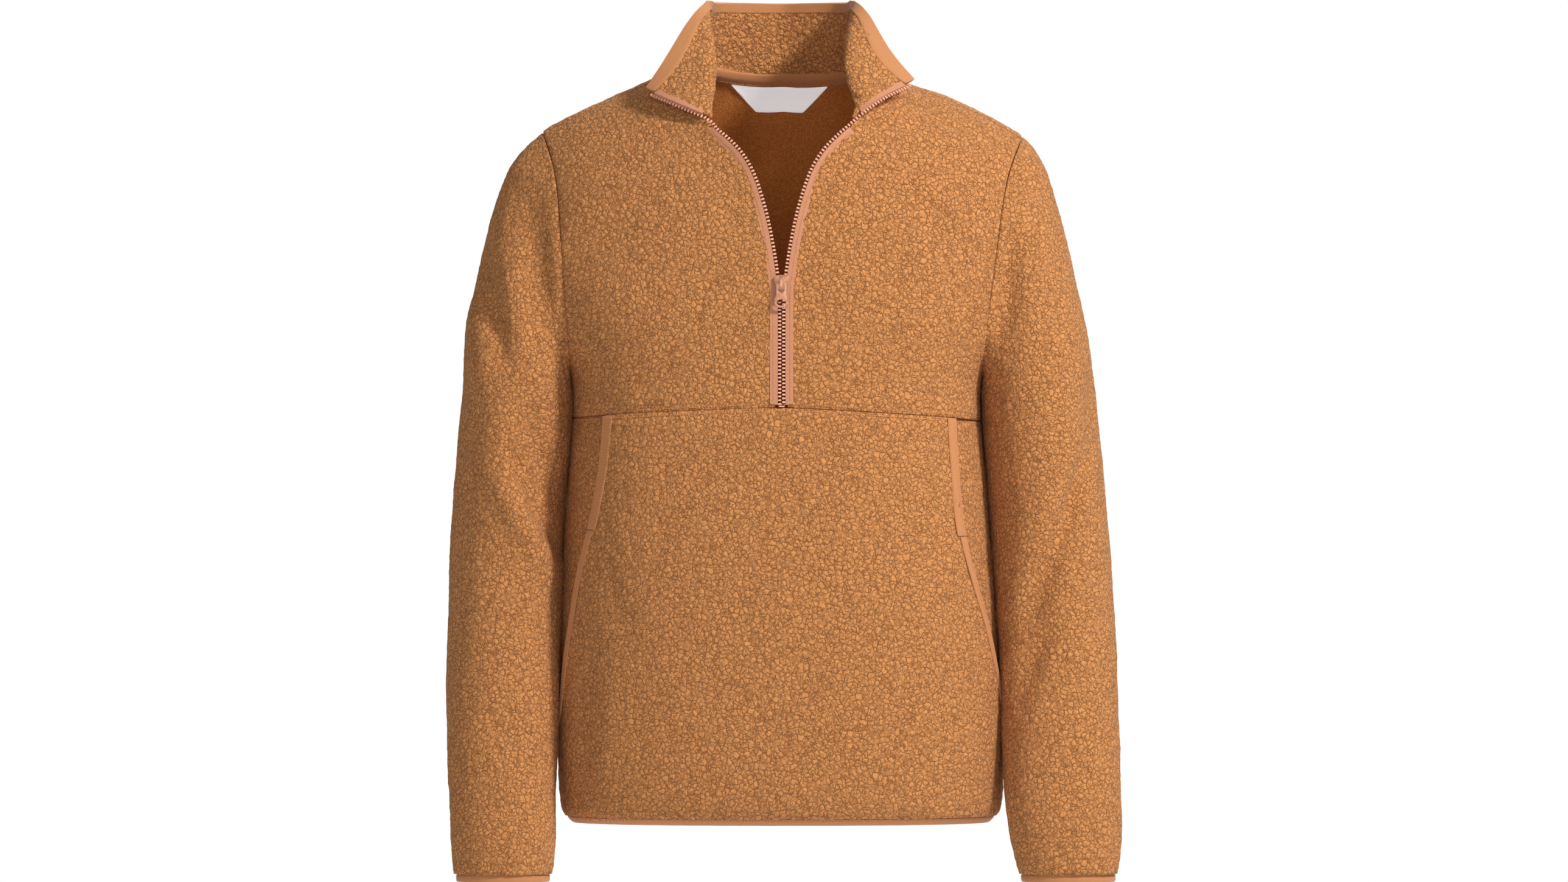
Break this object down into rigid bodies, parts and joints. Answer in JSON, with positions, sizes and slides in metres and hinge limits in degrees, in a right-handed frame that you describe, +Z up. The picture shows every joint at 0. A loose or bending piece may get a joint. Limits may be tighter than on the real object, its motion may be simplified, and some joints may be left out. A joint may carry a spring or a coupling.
{
  "type": "half-zip sherpa fleece pullover",
  "caption": "Half-zip pullover in sherpa fleece, in the hollow shape it has when worn, with an open stand collar, kangaroo pocket and bound edges.",
  "frame": {"origin": "in the middle of the neck, at the height of the back neck seam, where the wearer holds the garment up", "axes": "+Z up, the garment's front faces -Y, +X towards the wearer's left"},
  "size_m": [0.5973, 0.2447, 0.7799],
  "materials": {
    "fleece": "sherpa pile, curled and dull",
    "binding": "fine twill tape, dull",
    "zip_tape": "woven zip tape, dull",
    "zip_teeth": "moulded, slightly glossy",
    "zip_hardware": "painted, satin",
    "label": "plain woven satin"
  },
  "bodies": {
    "garment": {"chest_right": "fleece", "chest_left": "fleece", "back": "fleece", "front_lower": "fleece", "kangaroo_pocket": "fleece", "sleeve_right": "fleece", "sleeve_left": "fleece", "collar": "fleece", "collar_binding": "binding", "neck_tape": "binding", "label": "label", "pocket_tape_right": "binding", "pocket_tape_left": "binding", "pocket_binding_right": "binding", "pocket_binding_left": "binding", "hem_binding": "binding", "cuff_binding_right": "binding", "cuff_binding_left": "binding", "zip_tape_right": "zip_tape", "zip_tape_left": "zip_tape", "collar_zip_tape_right": "zip_tape", "collar_zip_tape_left": "zip_tape", "zip_teeth_right": "zip_teeth", "zip_teeth_left": "zip_teeth", "zip_bottom_stop": "zip_teeth", "zip_slider": "zip_hardware"},
    "pull_tab": {"zip_pull": "zip_hardware"}
  },
  "joints": [
    {"name": "pull_tab_hinge", "type": "hinge", "parent": "garment", "child": "pull_tab", "pos_m": [0, -0.12012, -0.18591], "axis": [-1, 0, 0], "range_deg": [0, 160]}
  ]
}
